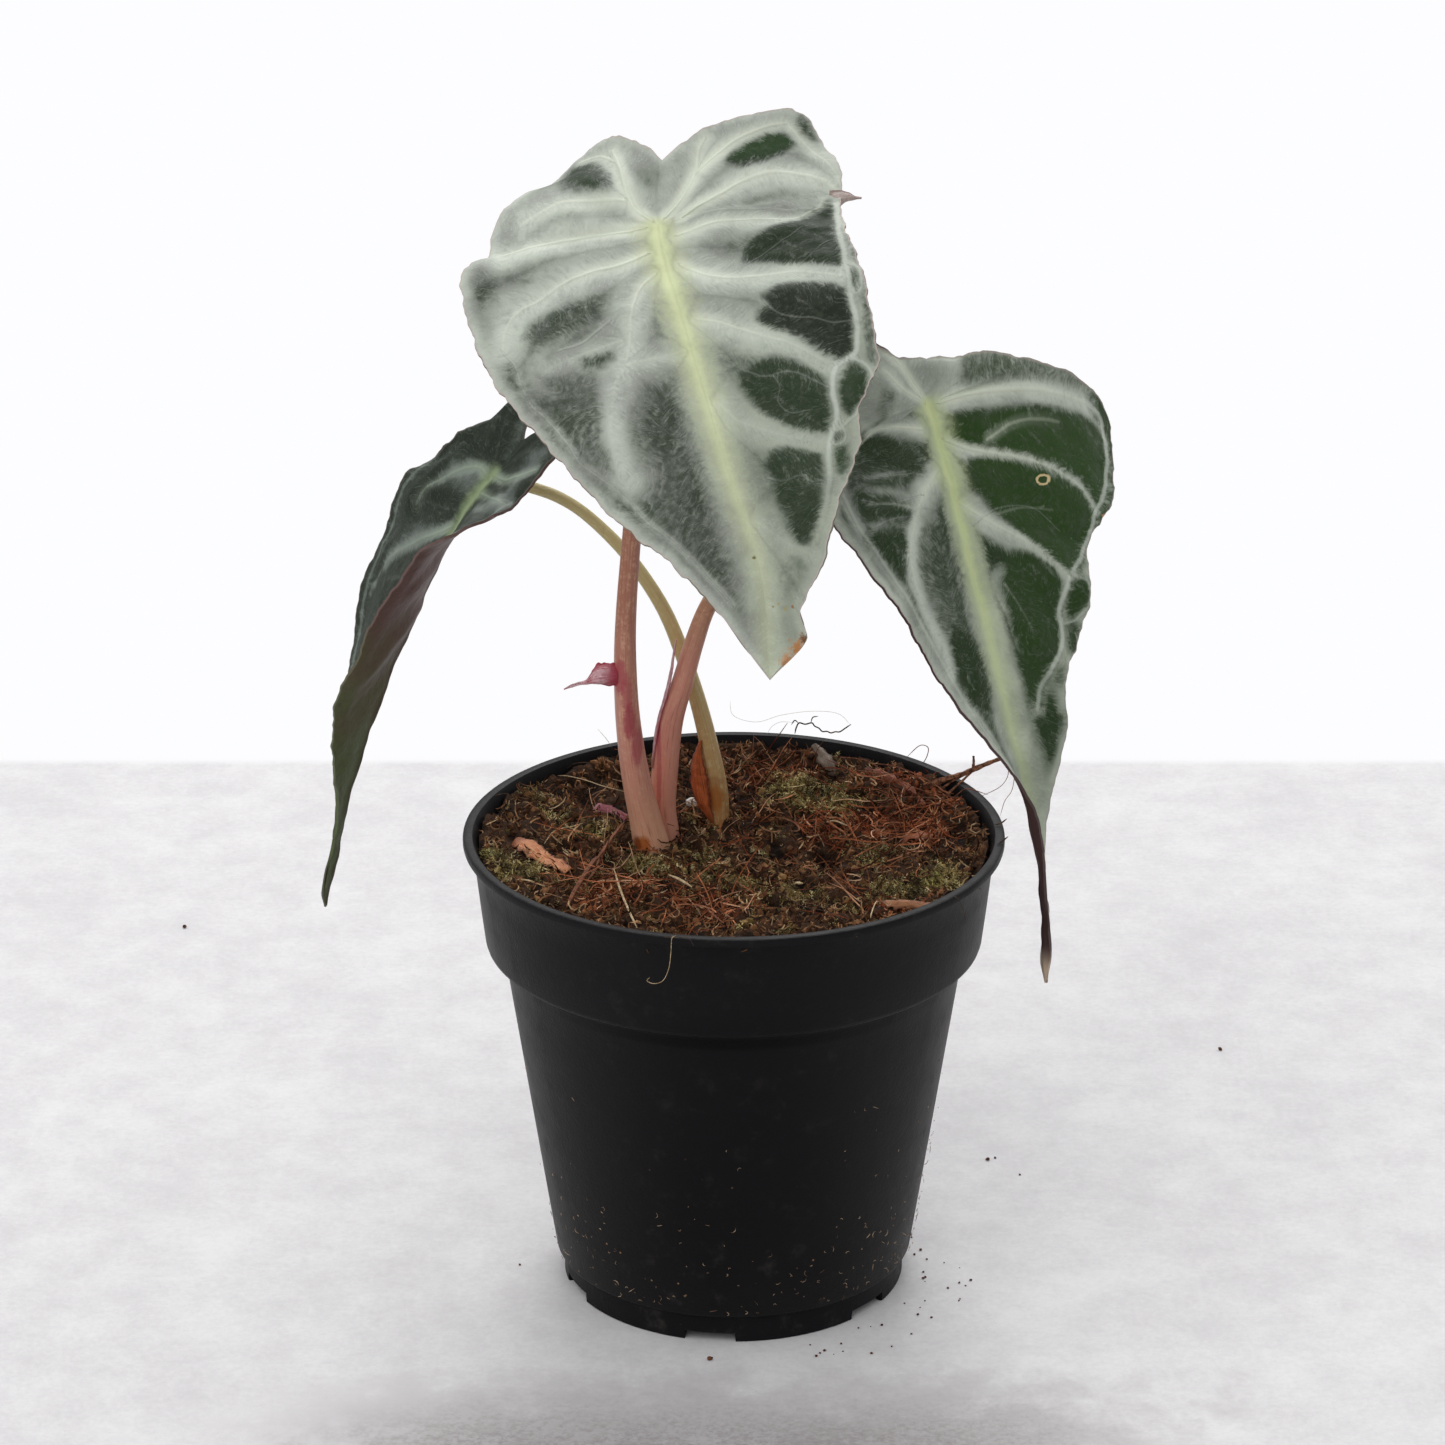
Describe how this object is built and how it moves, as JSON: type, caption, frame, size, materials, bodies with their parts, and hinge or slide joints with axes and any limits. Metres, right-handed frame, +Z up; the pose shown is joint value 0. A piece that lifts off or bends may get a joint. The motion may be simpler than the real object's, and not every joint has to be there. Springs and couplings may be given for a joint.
{
  "type": "potted venom alocasia",
  "caption": "Potted foliage plant: arching stalks carry large heart-shaped, pale-veined silver and dark green blades above a round tapered nursery pot filled with mossy soil.",
  "frame": {"origin": "on the pot's axis, in the plane of its feet, which is also the plane of its floor's middle disc", "axes": "+Z up along the pot's axis; -Y towards the viewer, the way the large front blade leans; +X to the viewer's right, where the second blade hangs"},
  "size_m": [0.1754, 0.1361, 0.2681],
  "materials": {
    "pot": "charcoal moulded plastic, satin, lightly dusty",
    "soil": "damp peat with coir and moss, rough and matt",
    "root": "firm tan root tissue, matt",
    "stalk_front": "pinkish-brown stalk, waxy satin, red streaks",
    "stalk_right": "brown-pink stalk, waxy satin",
    "stalk_left": "olive-yellow stalk, waxy satin, brown at the foot",
    "blade_front": "silver-green blade with dark patches between pale veins, satin",
    "blade_right": "deep green blade with silver vein bands, satin",
    "blade_left": "dark green blade, olive and brown-red underneath, satin",
    "sheath_front": "papery crimson, semi-matt",
    "sheath_right": "papery crimson-brown, semi-matt",
    "sheath_dead": "dry orange-brown, matt",
    "dried_leaf": "dry orange-tan, matt",
    "crimson_leaf": "dried crimson, matt",
    "perlite": "white expanded mineral, rough",
    "twig": "red-brown coir, matt"
  },
  "bodies": {
    "root": {"pot": "pot", "soil": "soil", "rootstock": "root", "stalk_front": "stalk_front", "stalk_right": "stalk_right", "stalk_left": "stalk_left", "blade_front": "blade_front", "blade_right": "blade_right", "blade_left": "blade_left", "sheath_scrap_front": "sheath_front", "sheath_sliver_right": "sheath_right", "dead_sheath_left": "sheath_dead", "dried_scrap": "dried_leaf", "crimson_scrap": "crimson_leaf", "perlite_grain": "perlite", "coir_twig": "twig"}
  },
  "joints": []
}
